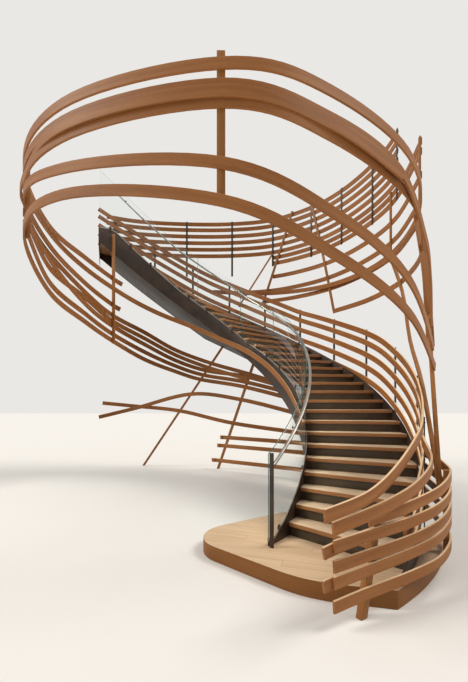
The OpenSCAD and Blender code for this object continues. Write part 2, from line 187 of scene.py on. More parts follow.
plate_steel = browned_steel("browned_steel", srgb(34, 25, 19), srgb(72, 55, 42), 0.3)


def dress(name, material, edge, steps=2, sharp=40.0):
    """A copy of a CAD piece with softened edges and a smooth skin, in its place."""
    mesh = nodes[name].data.copy()
    shape = bmesh.new()
    shape.from_mesh(mesh)
    bmesh.ops.remove_doubles(shape, verts=shape.verts, dist=2e-5)
    bmesh.ops.dissolve_limit(
        shape, angle_limit=math.radians(0.3), verts=shape.verts, edges=shape.edges
    )
    picked = [
        e
        for e in shape.edges
        if len(e.link_faces) == 2 and e.calc_face_angle(0.0) > math.radians(sharp)
    ]
    bmesh.ops.bevel(
        shape,
        geom=picked,
        offset=edge,
        segments=steps,
        profile=0.5,
        affect="EDGES",
        clamp_overlap=True,
    )
    for e in shape.edges:
        e.smooth = len(e.link_faces) != 2 or e.calc_face_angle(0.0) < math.radians(sharp * 0.8)
    for face in shape.faces:
        face.smooth = True
    shape.to_mesh(mesh)
    shape.free()
    piece = bpy.data.objects.new(name + "_finished", mesh)
    bpy.context.scene.collection.objects.link(piece)
    mesh.materials.clear()
    mesh.materials.append(material)
    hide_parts(name)
    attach(piece, "root")
    return piece


dress("base_plate", plate_steel, edge=0.001)

# Entry platform: a low round stage of oak boards on a timber frame, oiled, with an oak
# band bent round its edge, painted dark brown: partly its own tone, partly painted shade on
# the upright side. Board joints run across the way in.

BOARD_WIDE, BOARD_LONG, BOARDS_TURNED = 0.145, 1.9, math.radians(-18.0)


def oak_grain(shader, f, along, across, depth, pale, mid, dark, seed, gloss=0.55):
    """Oak: bands of growth, fine fibre and short dark pores, all drawn along the grain."""
    x, y, z = f.point(along + seed * 7.3, across + seed * 3.1, depth + seed * 1.7).axes()
    bands = f.cloud(f.point(x * 0.9, y * 11.0, z * 11.0), 1.0, 4.0, 0.6)
    fibre = f.cloud(f.point(x * 6.0, y * 240.0, z * 240.0), 1.0, 3.0, 0.55)
    pores = f.cloud(f.point(x * 22.0, y * 520.0, z * 520.0), 1.0, 1.0, 0.5).between(0.60, 0.74)
    wander = f.cloud(f.point(x * 0.35, y * 1.2, z * 1.2), 1.0, 2.0, 0.5)
    rings = (y * 95.0 + bands * 9.0 + wander * 7.0).sine() * 0.5 + 0.5
    tone = f.node(
        "ShaderNodeValToRGB",
        {"stops": [(0.12, dark), (0.5, mid), (0.9, pale)]},
        {"Fac": bands * 0.55 + wander * 0.35 + fibre * 0.22 - 0.06},
    )
    ringed = tone.blend(dark, rings * 0.16 + pores * 0.35)
    feed(shader, "Base Color", ringed)
    feed(shader, "Roughness", gloss - 0.06 + fibre * 0.16 + pores * 0.1)
    shader.inputs["Specular IOR Level"].default_value = 0.25
    return ringed, fibre, pores


def upper_side(f):
    """1 on the faces that look up, 0 on the upright ones; the finishes paint light and shade by it.
    """
    _, _, up = f.node("ShaderNodeNewGeometry", out="True Normal").axes()
    return up.between(0.45, 0.85)


def platform_oak():
    """Boards with staggered ends on top, and a dark bent band at the edge, partly painted shade."""
    material, shader, f = new_finish("oak_boards")
    x, y, z = f.place().axes()
    along = x * math.cos(BOARDS_TURNED) + y * math.sin(BOARDS_TURNED)
    across = y * math.cos(BOARDS_TURNED) - x * math.sin(BOARDS_TURNED)
    row = (across / BOARD_WIDE).floor()
    stagger = f.node("ShaderNodeTexWhiteNoise", {"noise_dimensions": "1D"}, {"W": row})
    run = along + stagger * BOARD_LONG
    board = (run / BOARD_LONG).floor()
    pale, mid, dark = srgb(228, 207, 180), srgb(208, 180, 148), srgb(164, 127, 92)
    boards, fibre, pores = oak_grain(
        shader, f, along, across, z, pale, mid, dark, row * 0.37 + board * 0.53
    )
    side = across / BOARD_WIDE - row
    end = run / BOARD_LONG - board
    gap = (side - 0.5).size().between(0.485, 0.497)
    butt = (end - 0.5).size().between(0.4988, 0.4996)
    seam = gap.math("MAXIMUM", gap, butt)
    streaks = f.cloud(f.point(x * 1.5, y * 1.5, z * 70.0), 1.0, 4.0, 0.6)
    # Painted shade: the upright edge band is dark brown, partly its own tone and partly shade.
    edge_band_and_shade = f.paint(srgb(98, 58, 24)).blend(srgb(150, 98, 46), streaks)
    top = upper_side(f)
    feed(shader, "Base Color", edge_band_and_shade.blend(boards.blend(srgb(92, 62, 38), seam * 0.7), top))
    bump(shader, fibre * 0.4 - pores * 0.3 - seam * top * 3.0, 0.0004, 0.5)
    return material


dress("entry_platform", platform_oak(), edge=0.004, steps=3)

# Stringers and soffit: plates 12 mm thick, rolled to the turn of the flight and welded to
# the risers. The soffit is a thinner plate that closes the underside between them, folded
# under each riser.

AXIS = Vector((-2.784943, 1.946410, 0.0))
RISE, TURN = 165.0, 4.67

for part in ("inner_stringer", "outer_stringer", "landing_flange"):
    dress(part, plate_steel, edge=0.0012)


def soffit_steel():
    """The same browned plate, with a dark line painted as shade along the fold under each riser."""
    material, shader, f = new_finish("soffit_steel")
    x, y, z = f.place().axes()
    turned = x.math("ARCTAN2", y - AXIS.y, x - AXIS.x) / math.radians(TURN)
    fold_shade = 1.0 - (turned - turned.floor() - 0.5).size().between(0.0, 0.07)
    cloud = f.cloud(f.point(x, y, z), 0.4, 5.0, 0.6).between(0.3, 0.75)
    tone = f.paint(srgb(32, 23, 17)).blend(srgb(54, 39, 28), cloud)
    # Painted shade: a near-black line along each fold under a riser.
    feed(shader, "Base Color", tone.blend(srgb(14, 10, 8), fold_shade * 0.8))
    feed(shader, "Roughness", 0.55 + cloud * 0.15)
    bump(shader, cloud * 0.2 - fold_shade, 0.003, 0.6)
    return material


dress("soffit_plate", soffit_steel(), edge=0.0012)

# Risers: folded plates of browned steel, set back under each tread and welded to both
# stringers. Shoes have rubbed them a little paler than the other plates.

riser_steel = browned_steel("riser_steel", srgb(58, 48, 36), srgb(86, 72, 54), 0.2)
for part in ("lower_risers", "middle_risers", "upper_risers"):
    dress(part, riser_steel, edge=0.001)

# Treads: solid oak boards 50 mm thick, their grain running from stringer to stringer, with
# an eased edge. The tops are pale, and the upright faces, the nosings, are painted a darker
# brown as shade.

WALK_R = 3.4


def from_axis(x, y):
    """East and north of the stair's axis, and the distance to it, over a material."""
    east = x - AXIS.x
    north = y - AXIS.y
    return east, north, (east * east + north * north) ** 0.5


def tread_oak():
    """Boards turning with the flight, each step with its own grain; pale tops, painted shade on the
    sides.
    """
    material, shader, f = new_finish("oak_treads")
    x, y, z = f.place().axes()
    east, north, out = from_axis(x, y)
    turned = east.math("ARCTAN2", north, east)
    step = (z / (RISE / 1000) - 0.05).floor()
    pale, mid, dark = srgb(232, 213, 188), srgb(215, 190, 161), srgb(172, 137, 103)
    boards, fibre, pores = oak_grain(
        shader, f, out, turned * WALK_R, z, pale, mid, dark, step * 0.61, gloss=0.36
    )
    # Painted shade: the upright faces (nosings) are made darker brown than the pale tops.
    painted_shade_front = boards.blend(srgb(146, 92, 42), 0.88)
    feed(shader, "Base Color", painted_shade_front.blend(boards, upper_side(f)))
    bump(shader, fibre * 0.5 - pores * 0.4, 0.0003, 0.4)
    return material


step_oak = tread_oak()
for part in ("lower_treads", "middle_treads", "upper_treads"):
    dress(part, step_oak, edge=0.004, steps=3, sharp=60.0)

# Glass side: toughened and laminated panes, bent to the stringer and stood on its edge.
# Their polished edges look sea green, the faces almost clear.


def clear_glass():
    """Almost clear on the bent faces, sea green on the polished edges, a faint shadow."""
    material, shader, f = new_finish("clear_glass")
    x, y, z = f.place().axes()
    nx, ny, _ = f.node("ShaderNodeNewGeometry", out="True Normal").axes()
    east, north, away = from_axis(x, y)
    facing = (nx * east + ny * north) / away
    edge = 1.0 - facing.size().between(0.3, 0.8)
    shader.inputs["Base Color"].default_value = (0.95, 0.985, 0.975, 1.0)
    feed(shader, "Roughness", f.cloud(f.point(x, y, z), 0.35, 3.0, 0.5) * 0.02)
    shader.inputs["Transmission Weight"].default_value = 1.0
    shader.inputs["IOR"].default_value = 1.3
    rim = f.node(
        "ShaderNodeBsdfPrincipled",
        {},
        {"Base Color": srgb(44, 104, 98), "Roughness": 0.15, "IOR": 1.5},
    )
    through = f.node("ShaderNodeBsdfTransparent", {}, {"Color": (0.93, 0.97, 0.96, 1.0)})
    shadow = f.node("ShaderNodeLightPath", out="Is Shadow Ray")
    sheet = Field(f.tree, shader.outputs[0])
    sheet = f.node("ShaderNodeMixShader", {}, {0: edge, 1: sheet, 2: rim})
    sheet = f.node("ShaderNodeMixShader", {}, {0: shadow, 1: sheet, 2: through})
    feed(f.tree.nodes["Material Output"], "Surface", sheet)
    return material


dress("glass_panels", clear_glass(), edge=0.001, steps=1)

# Clamps, brackets and handrail: the clamps are browned like the plates. Brackets and rail are
# stainless steel, ground along their length to a satin shine, and the rail is a tube 44 mm
# thick on short pins through the glass.

START, LAG, STEPS, LIP = -37.6, 4.3, 33, 20.0
TOP_Z = RISE * (STEPS + 1)
R_OUT, R_IN, PLATE_T, SEAT = 4100.0, 2700.0, 12.0, 0.3
RAIL_R, RAIL_D, RAIL_H, RAIL_LOW = R_IN - PLATE_T + 60, 44.0, 930.0, 900.0
RAIL_SIDES = 24


def satin_steel():
    """Stainless steel with level grinding lines and soft smudges from hands."""
    material, shader, f = new_finish("satin_steel")
    x, y, z = f.place().axes()
    lines = f.cloud(f.point(x * 30.0, y * 30.0, z * 900.0), 1.0, 3.0, 0.6)
    smudge = f.cloud(f.point(x, y, z), 0.25, 3.0, 0.5)
    base = f.paint(srgb(172, 168, 162))
    feed(shader, "Base Color", base.blend(srgb(112, 106, 100), smudge * 0.8))
    feed(shader, "Roughness", 0.2 + lines * 0.14 + smudge * 0.08)
    shader.inputs["Metallic"].default_value = 1.0
    bump(shader, lines, 0.0001, 0.2)
    return material


def lookup(x, table):
    for (x0, y0), (x1, y1) in zip(table, table[1:]):
        if x <= x1:
            return y0 + (y1 - y0) * max(0.0, x - x0) / (x1 - x0)
    return table[-1][1]


def swing(k, low):
    """How far a stringer's edge leaves the even climb of the risers, at riser k."""
    return lookup(k, [(4, low), (11, 70), (18, -150), (26, -150), (32, 20)])


def side_in(a):
    """The height of the inner stringer's edge at an azimuth."""
    return RISE * ((a - START) / TURN + 1) + LIP + swing((a - START) / TURN, 100)


def spoke(r, a):
    return Vector((r * math.cos(math.radians(a)), r * math.sin(math.radians(a)), 0)) / 1000


def pol(r, a, z=0.0):
    """A point from its distance to the stair's axis, azimuth and height, in millimetres."""
    return AXIS + spoke(r, a) + Vector((0, 0, z / 1000))


def add_piece(name, verts, faces, material, slot, uvs=None):
    mesh = bpy.data.meshes.new(name)
    mesh.from_pydata([tuple(v) for v in verts], [], faces)
    mesh.update()
    if uvs:
        layer = mesh.uv_layers.new(name="UVMap")
        flat = [value for face in uvs for pair in face for value in pair]
        layer.data.foreach_set("uv", flat)
    mesh.polygons.foreach_set("use_smooth", [True] * len(mesh.polygons))
    mesh.materials.append(material)
    piece = bpy.data.objects.new(name, mesh)
    bpy.context.scene.collection.objects.link(piece)
    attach(piece, "root")
    return piece


def sharp_by_angle(mesh, degrees):
    """Keeps an edge crisp where the faces beside it turn by more than this."""
    shape = bmesh.new()
    shape.from_mesh(mesh)
    for e in shape.edges:
        e.smooth = len(e.link_faces) == 2 and e.calc_face_angle(0.0) < math.radians(degrees)
    shape.to_mesh(mesh)
    shape.free()


def loft(rings):
    """Points and faces of a closed skin over rings with the same number of points."""
    n = len(rings[0])
    faces = [
        (i * n + j, i * n + (j + 1) % n, (i + 1) * n + (j + 1) % n, (i + 1) * n + j)
        for i in range(len(rings) - 1)
        for j in range(n)
    ]
    last = (len(rings) - 1) * n
    faces.append(tuple(range(n))[::-1])
    faces.append(tuple(last + j for j in range(n)))
    return [p for ring in rings for p in ring], faces


rail_steel = satin_steel()
dress("glass_clamps", plate_steel, edge=0.002)
dress("rail_brackets", rail_steel, edge=0.001, steps=1)

# A ring at every quarter of a riser, from one riser before the flight to the last one.
rail_rings = []
for quarter in range(-4, 4 * STEPS + 1):
    a = START + TURN * quarter / 4
    z = max(RISE + RAIL_LOW, side_in(a) + RAIL_H)
    turns = [2 * math.pi * j / RAIL_SIDES for j in range(RAIL_SIDES)]
    r = RAIL_D / 2
    rail_rings.append([pol(RAIL_R + r * math.cos(t), a, z + r * math.sin(t)) for t in turns])
rail = add_piece("handrail_tube", *loft(rail_rings), rail_steel, "brushed_steel")
sharp_by_angle(rail.data, 50.0)
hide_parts("handrail")

# Glass shoe and end post: the foot of the glass stands in a slim polished channel on the
# edge of the stringer, and the first pane ends against a flat steel post on the platform.

SHOE_H, SHOE_LOW = 26.0, 60.0
SHOE_NEAR, SHOE_FAR = R_IN - PLATE_T - 4, R_IN + 3

# A corner ring at every half riser, from one riser before the flight to one beyond it.
shoe_rings = []
for half in range(-2, 2 * STEPS + 3):
    a = START + TURN * half / 2
    low = min(max(RISE + SHOE_LOW, side_in(a)), TOP_Z) - SEAT
    corners = ((SHOE_NEAR, low), (SHOE_FAR, low), (SHOE_FAR, low + SHOE_H), (SHOE_NEAR, low + SHOE_H))
    shoe_rings.append([pol(r, a, z) for r, z in corners])
shoe = add_piece("glass_shoe", *loft(shoe_rings), rail_steel, "brushed_steel")
sharp_by_angle(shoe.data, 50.0)
dress("end_post", plate_steel, edge=0.0015)

# Guard of the open side: five ribbons of oak, bent green and dried on the curve, bolted to
# slim steel posts. Each is 100 by 22 mm with its edges just broken, and keeps its own tint.
# The posts stand outside the ribbons, on blocks against the stringer.

RIB_T, RIB_W, RIB_EASE = 22.0, 100.0, 2.2
UV_STEP, UV_EDGE, END_GRAIN = 10.0, 2.0, 0.2
POST_T, POST_W, POST_UP, POST_DOWN, POST_LONG = 12.0, 50.0, 940.0, 320.0, 1150.0
BLOCK_W, BLOCK_H, BLOCK_DROP = POST_W - 6, 90.0, 50.0
OFF_PLATFORM = 30.0
R_RIB = R_OUT + PLATE_T + POST_T + RIB_T / 2 - SEAT
R_POST = R_RIB + RIB_T / 2 - SEAT
POST_K = range(3, 34, 3)
LONG_POSTS = (9, 12)
GUARD_K = [1.5 * n for n in range(2, 23)] + [34.2]

# Each ribbon's height over the outer stringer, and the stations that it has before the
# third riser: distance outside the other ribbons, azimuth and height.
GUARD = (
    (880, [(0, -57, 990), (0, -50, 1050), (0, -43.6, 1190), (0, -35, 1400)]),
    (700, [(-25, -55.5, 878), (50, -48, 960), (110, -41, 1050), (120, -34, 1180)]),
    (480, [(0, -41.2, 800), (0, -36, 900)]),
    (250, [(0, -41, 600), (0, -36, 690)]),
    (20, [(0, -40, 440), (0, -35, 500)]),
)


def ribbon_oak():
    """Oak whose grain follows the ribbon: the piece's UV holds metres along and round it."""
    material, shader, f = new_finish("oak_ribbons")
    u, v, _ = f.node("ShaderNodeUVMap", {"uv_map": "UVMap"}).axes()
    number = (v / UV_STEP).floor()
    side = v - number * UV_STEP
    pale, mid, dark = srgb(188, 132, 82), srgb(152, 98, 52), srgb(100, 58, 26)
    grain, fibre, pores = oak_grain(shader, f, u, side, 0.0, pale, mid, dark, number * 0.73)
    # Painted light: the upward faces of the ribbons are laid over with a pale colour.
    feed(shader, "Base Color", grain.blend(srgb(240, 210, 170), upper_side(f) * 0.8))
    bump(shader, fibre * 0.6 - pores * 0.4, 0.0001, 0.2)
    return material


def catmull(p, q, r, s, t):
    return 0.5 * (
        2 * q + (r - p) * t + (2 * p - 5 * q + 4 * r - s) * t * t + (3 * q - p - 3 * r + s) * t**3
    )


def curve(stations, pieces=10):
    """A smooth line through the stations, with that many pieces from one to the next."""
    points = []
    for i in range(len(stations) - 1):
        p = stations[max(i - 1, 0)]
        s = stations[min(i + 2, len(stations) - 1)]
        for j in range(pieces):
            points.append(catmull(p, stations[i], stations[i + 1], s, j / pieces))
    return points + [stations[-1]]


ribbon_wood = ribbon_oak()
ribbon_numbers = itertools.count(1)


def bent_ribbons(name, paths, replaces=None, over=(0, 0, 1)):
    """Ribbons along their paths as one mesh, with broken edges and grain that follows them."""
    verts, faces, uvs = [], [], []
    w, t, ease = RIB_W / 2000, RIB_T / 2000, RIB_EASE / 1000
    section = [
        (-t, -w + ease), (-t + ease, -w), (t - ease, -w), (t, -w + ease),
        (t, w - ease), (t - ease, w), (-t + ease, w), (-t, w - ease),
    ]
    girth = [0.0]
    for (a, b), (c, d) in zip(section, section[1:] + section[:1]):
        girth.append(girth[-1] + math.hypot(c - a, d - b))
    n = len(section)
    for path in paths:
        shift = next(ribbon_numbers) * UV_STEP + UV_EDGE
        first = len(verts)
        gone = 0.0
        lengths = []
        for i, p in enumerate(path):
            ahead = (path[min(i + 1, len(path) - 1)] - path[max(i - 1, 0)]).normalized()
            right = ahead.cross(Vector(over)).normalized()
            up = right.cross(ahead).normalized()
            if i:
                gone += (p - path[i - 1]).length
            lengths.append(gone)
            verts.extend(p + right * a + up * b for a, b in section)
        for i in range(len(path) - 1):
            for j in range(n):
                k = (j + 1) % n
                a, b = first + i * n, first + (i + 1) * n
                faces.append((a + j, a + k, b + k, b + j))
                v0, v1 = girth[j] + shift, girth[j + 1] + shift
                u0, u1 = lengths[i], lengths[i + 1]
                uvs.append(((u0, v0), (u0, v1), (u1, v1), (u1, v0)))
        last = first + (len(path) - 1) * n
        faces.append(tuple(first + n - 1 - j for j in range(n)))
        uvs.append(tuple((a * END_GRAIN, shift + b) for a, b in reversed(section)))
        faces.append(tuple(last + j for j in range(n)))
        uvs.append(tuple((gone + a * END_GRAIN, shift + b) for a, b in section))
    piece = add_piece(name, verts, faces, ribbon_wood, "oak", uvs)
    sharp_by_angle(piece.data, 35.0)
    if replaces:
        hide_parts(replaces)


def z_out(a):
    """The even climb of the risers along the outer stringer, at an azimuth."""
    return RISE * ((a - START + LAG) / TURN + 1)


def side_out(a):
    """The height of the outer stringer's edge at an azimuth."""
    return z_out(a) + swing((a - START + LAG) / TURN, 10)


def post_az(k):
    return START - LAG + k * TURN


for number, (offset, front) in enumerate(GUARD, 1):
    stations = [pol(R_RIB + out, a, z) for out, a, z in front]
    stations += [pol(R_RIB, post_az(k), side_out(post_az(k)) + offset) for k in GUARD_K]
    name = "guard_ribbon_%d" % number
    bent_ribbons(name + "_bent", [curve(stations, 8)], replaces=name)


def spoke_box(verts, faces, a, near, far, wide, low, high):
    """An upright bar between two radii and two heights, its sides along the flight."""
    first = len(verts)
    along = Vector((-math.sin(math.radians(a)), math.cos(math.radians(a)), 0)) * wide / 2000
    for z in (low, high):
        for r, side in ((near, -1), (far, -1), (far, 1), (near, 1)):
            verts.append(pol(r, a, z) + along * side)
    faces.append((first + 3, first + 2, first + 1, first))
    faces.append((first + 4, first + 5, first + 6, first + 7))
    for j in range(4):
        k = (j + 1) % 4
        faces.append((first + j, first + k, first + k + 4, first + j + 4))


post_verts, post_faces = [], []
for k in POST_K:
    a = post_az(k)
    foot = z_out(a) - (POST_LONG if k in LONG_POSTS else POST_DOWN)
    foot = max(foot, RISE + OFF_PLATFORM)
    head = side_out(a) + POST_UP
    spoke_box(post_verts, post_faces, a, R_POST, R_POST + POST_T, POST_W, foot, head)
    block = side_out(a) - BLOCK_DROP
    spoke_box(
        post_verts, post_faces, a, R_OUT + PLATE_T - SEAT, R_POST + 1, BLOCK_W, block - BLOCK_H, block
    )
posts = add_piece("guard_posts_slim", post_verts, post_faces, plate_steel, "dark_steel")
sharp_by_angle(posts.data, 30.0)
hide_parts("guard_posts")

# Coach bolts: a low round head on the oak and a domed nut behind the post, at every crossing
# of a ribbon and a post. Zinc plated, gone dull.

HEAD_SIDES = 12
HEAD_RINGS = ((9.0, 0.0), (8.6, 2.0), (6.6, 3.9), (3.4, 5.0))


def dull_zinc():
    """Grey zinc plate with darker spots."""
    material, shader, f = new_finish("bolt_zinc")
    spots = f.cloud(f.place(), 0.004, 3.0, 0.6)
    feed(shader, "Base Color", f.paint(srgb(120, 112, 102)).blend(srgb(72, 62, 54), spots))
    feed(shader, "Roughness", 0.35 + spots * 0.25)
    shader.inputs["Metallic"].default_value = 0.9
    return material


bolt_zinc = dull_zinc()


def bolt_heads(name, seats):
    """Domed heads, each given by the middle of its foot and the way it faces."""
    verts, faces = [], []
    for foot, facing in seats:
        facing = facing.normalized()
        side = facing.cross(Vector((0, 0, 1))).normalized()
        up = side.cross(facing)
        first = len(verts)
        for radius, height in HEAD_RINGS:
            middle = foot + facing * (height - SEAT) / 1000
            for j in range(HEAD_SIDES):
                a = 2 * math.pi * j / HEAD_SIDES
                verts.append(middle + (side * math.cos(a) + up * math.sin(a)) * radius / 1000)
        for i in range(len(HEAD_RINGS) - 1):
            a = first + i * HEAD_SIDES
            b = a + HEAD_SIDES
            for j in range(HEAD_SIDES):
                k = (j + 1) % HEAD_SIDES
                faces.append((a + j, b + j, b + k, a + k))
        top = first + (len(HEAD_RINGS) - 1) * HEAD_SIDES
        faces.append(tuple(first + j for j in range(HEAD_SIDES)))
        faces.append(tuple(top + HEAD_SIDES - 1 - j for j in range(HEAD_SIDES)))
    piece = add_piece(name, verts, faces, bolt_zinc, "brushed_steel")
    shape = bmesh.new()
    shape.from_mesh(piece.data)
    bmesh.ops.recalc_face_normals(shape, faces=shape.faces)
    shape.to_mesh(piece.data)
    shape.free()
    sharp_by_angle(piece.data, 50.0)


guard_bolts = []
for k in POST_K:
    a = post_az(k)
    for offset, _ in GUARD:
        z = side_out(a) + offset
        guard_bolts.append((pol(R_RIB - RIB_T / 2, a, z), -spoke(1, a)))
        guard_bolts.append((pol(R_RIB + RIB_T / 2 + POST_T, a, z), spoke(1, a)))
bolt_heads("guard_bolts", guard_bolts)

# Entry and long ribbons: seven ribbons sweep round the entry on two oak posts. Two of them
# run on under the flight, past the landing, round the opening and back to the right prop.
# They are fixed beside the square props that lean on the outer stringer.

FOOT_AZ, SIDE_AZ, SIDE_R = -47.6, -27.0, 4400
PROP_W, LATH_W, HEAD_UP = 60.0, 45.0, 130.0
BESIDE = (PROP_W + RIB_T) / 2 - SEAT
OVAL_X, OVAL_Y, OVAL_A, OVAL_B = 1470, 640, 2980, 3520
HANGER_AZ, HANGER_TURNED, RIGHT_TURNED = 115.2, 154.0, -17.0

# The way round the entry in plan: distance to the stair's axis and azimuth.
ENTRY_PLAN = (
    (3940, -52.5), (4010, FOOT_AZ), (4190, -40), (4330, -34), (SIDE_R, SIDE_AZ),
    (4356, -22), (4299, -17.7), (4243, -13.5), (4170, -6.9), (R_RIB, post_az(9)),
)
LAP_PLAN = ((3905, -53.65), (3917, -52.5), (3987, FOOT_AZ), (4167, -40))


def upright_oak():
    """Oak whose grain stands upright, for posts, props and laths."""
    material, shader, f = new_finish("oak_posts")
    x, y, z = f.place().axes()
    pale, mid, dark = srgb(184, 132, 78), srgb(150, 99, 50), srgb(98, 58, 24)
    _, fibre, pores = oak_grain(shader, f, z, x, y, pale, mid, dark, 0.0)
    bump(shader, fibre - pores * 0.5, 0.0001, 0.2)
    return material


def plan_run(plan, heights):
    return [pol(r, a, z) for (r, a), z in zip(plan, heights)]


post_wood = upright_oak()
turned_in = [pol(4015, -47.2, 803), pol(4100, -43.7, 832)]
entry_paths = [
    turned_in + plan_run(ENTRY_PLAN[2:], [864, 928, 990, 1030, 1065, 1105, 1190, 1285]),
    plan_run(ENTRY_PLAN, [655, 680, 722, 772, 815, 855, 890, 930, 1030, 1140]),
    plan_run(ENTRY_PLAN, [500, 520, 565, 615, 660, 695, 725, 770, 885, 1005]),
]
lap_paths = [
    plan_run(LAP_PLAN, [609, 625, 672, 722]),
    plan_run(LAP_PLAN, [355, 366, 392, 450]),
]
bent_ribbons("entry_ribbons_bent", [curve(p, 8) for p in entry_paths], replaces="entry_ribbons")
bent_ribbons("entry_laps", [curve(p, 8) for p in lap_paths])
dress("entry_posts", post_wood, edge=0.003)


def mm(x, y, z):
    """A point from its place beside the stair's axis and its height, in millimetres."""
    return AXIS + Vector((x, y, z)) / 1000


def belly(a):
    """The height of the outer stringer's lower edge at an azimuth."""
    depths = [(0, 300), (8, 500), (16, 1000), (26, 1000), (31, 600), (34, 350)]
    return z_out(a) - lookup((a - START + LAG) / TURN, depths)


def reach(d, w=PROP_W, t=PROP_W):
    """How far a bar w by t reaches towards a plate that it is turned from by d degrees."""
    return w / 2 * math.cos(math.radians(d)) + t / 2 * math.sin(math.radians(d))


def prop_head(az, d):
    """The upper end of a prop, against the outer stringer a little over its lower edge."""
    return pol(R_OUT + PLATE_T + reach(d) - SEAT, az, belly(az) + HEAD_UP)


def at_height(p, q, z):
    return p + (q - p) * ((z / 1000 - p.z) / (q.z - p.z))


# Each prop by its foot, its head and the azimuth that its sides are turned to.
PROP_1 = (mm(-1040, 4690, 0), prop_head(72, 8), 80)
PROP_2 = (mm(1092, 4152, 0), prop_head(60, 2), 62)
PROP_3 = (pol(4420, 34, 0), prop_head(49, 2), 51)
RIGHT_FOOT = SIDE_R - RIB_T / 2 - PROP_W - reach(8, LATH_W, LATH_W) + 2 * SEAT
RIGHT_PROP = (pol(RIGHT_FOOT, SIDE_AZ - 0.6, 800), mm(4166, -1010, 3000))
HANGER_R = R_IN - PLATE_T - reach(HANGER_TURNED - HANGER_AZ, PROP_W, LATH_W) + SEAT


def inside(prop, z):
    """The middle of a ribbon on the near side of a prop, at a height."""
    foot, head, az = prop
    return at_height(foot, head, z) - spoke(BESIDE, az)


def outside_right(z):
    return at_height(*RIGHT_PROP, z) + spoke((LATH_W + RIB_T) / 2 - SEAT, RIGHT_TURNED)


def at_end_hanger(z):
    return pol(HANGER_R, HANGER_AZ) + spoke(BESIDE, HANGER_TURNED) + Vector((0, 0, z / 1000))


def rim(a, z, out=0.0):
    """A point on the oval of the floor opening, by its azimuth about the oval's middle."""
    t = math.radians(a)
    return mm(OVAL_X + (OVAL_A + out) * math.cos(t), OVAL_Y + (OVAL_B + out) * math.sin(t), z)


low_1 = (
    plan_run(ENTRY_PLAN, [375, 400, 450, 490, 528, 555, 578, 620, 745, 875])
    + [pol(R_RIB, post_az(12), 1210), pol(R_RIB + 8, 26, 1560), pol(4150, 38, 1920)]
    + [inside(PROP_2, 2420), inside(PROP_1, 2620), rim(118, 2870, 150), rim(134, 3185, 60)]
    + [at_end_hanger(3480), rim(165, 3740), rim(185, 4150), rim(214, 4270), rim(240, 4000)]
    + [rim(271, 3740, 30), rim(290, 3370, 110), rim(307, 2970, 150), outside_right(2460)]
)
low_2 = (
    plan_run(ENTRY_PLAN, [190, 215, 245, 262, 280, 322, 370, 425, 585, 745])
    + [pol(R_RIB, post_az(12), 1060), pol(R_RIB + 8, 26, 1380), pol(4150, 38, 1720)]
    + [inside(PROP_2, 2170), inside(PROP_1, 2390), rim(118, 2580, 150), rim(134, 2820, 60)]
    + [at_end_hanger(3150), rim(165, 3380), rim(185, 3600), rim(214, 3850), rim(240, 3750)]
    + [rim(271, 3430, 30), rim(290, 3020, 110), rim(307, 2640, 150), outside_right(2200)]
)
bent_ribbons("low_ribbon_1_bent", [curve(low_1)], replaces="low_ribbon_1")
bent_ribbons("low_ribbon_2_bent", [curve(low_2)], replaces="low_ribbon_2")

# Whirl: three more ribbons hang round the opening from oak hangers. One comes down along the
# underside of the inner stringer, one runs off under the far side of the floor.

R_UNDER = R_IN - PLATE_T - RIB_T / 2 - 1
HANGER_FOOT, FOOT_LIFT = 3.42, 0.06

whirl = (
    [rim(100, 4720, -17), rim(70, 4640, -17), rim(40, 4520, -17), rim(10, 4430, -61)]
    + [rim(340, 4400, -50), rim(315, 4450), rim(290, 4530), rim(271, 4560, 30), rim(240, 4620)]
    + [rim(214, 4690), rim(185, 4700), rim(165, 4660), at_end_hanger(4540), rim(146, 4455)],
    [outside_right(2760) + spoke(2, RIGHT_TURNED), rim(328, 3300, 90), rim(322, 3700, 60)]
    + [rim(308, 4130, 30), rim(290, 4290), rim(271, 4385, 30), rim(240, 4450), rim(214, 4540)]
    + [rim(185, 4600), rim(165, 4450), pol(2650, 110, 4170), pol(2650, 95, 3830)]
    + [pol(2660, 76, 3470), pol(R_UNDER, 62, 3165), pol(R_UNDER, 48, 2870)]
    + [pol(R_UNDER, 34, 2500), pol(R_UNDER, 20, 2060), pol(2662, 6, 1640), pol(2650, -7, 1430)],
    [rim(37, 3880, -17), rim(20, 3870), rim(4, 3860, 12), rim(352, 3860, 12), rim(337, 3880)]
    + [rim(315, 4000), rim(290, 4130), rim(271, 4240, 30), rim(240, 4300), rim(214, 4390)]
    + [rim(185, 4380), rim(165, 4150), at_end_hanger(3950), rim(147, 3875)],
)
for number, stations in enumerate(whirl, 1):
    name = "whirl_ribbon_%d" % number
    bent_ribbons(name + "_bent", [curve(stations)], replaces=name)
dress("left_hangers", post_wood, edge=0.003)

# The front hanger stops behind the lowest of the three.
front_hanger = dress("front_hanger", post_wood, edge=0.003)
for corner in front_hanger.data.vertices:
    if corner.co.z < HANGER_FOOT:
        corner.co.z += FOOT_LIFT

# Lapped ribbons: shorter ribbons bolted to the long ones. Three make the sweep on the left a
# bundle of five, one closes a gap at the front of the whirl, and a flat lath carries the
# whirl over the right prop.

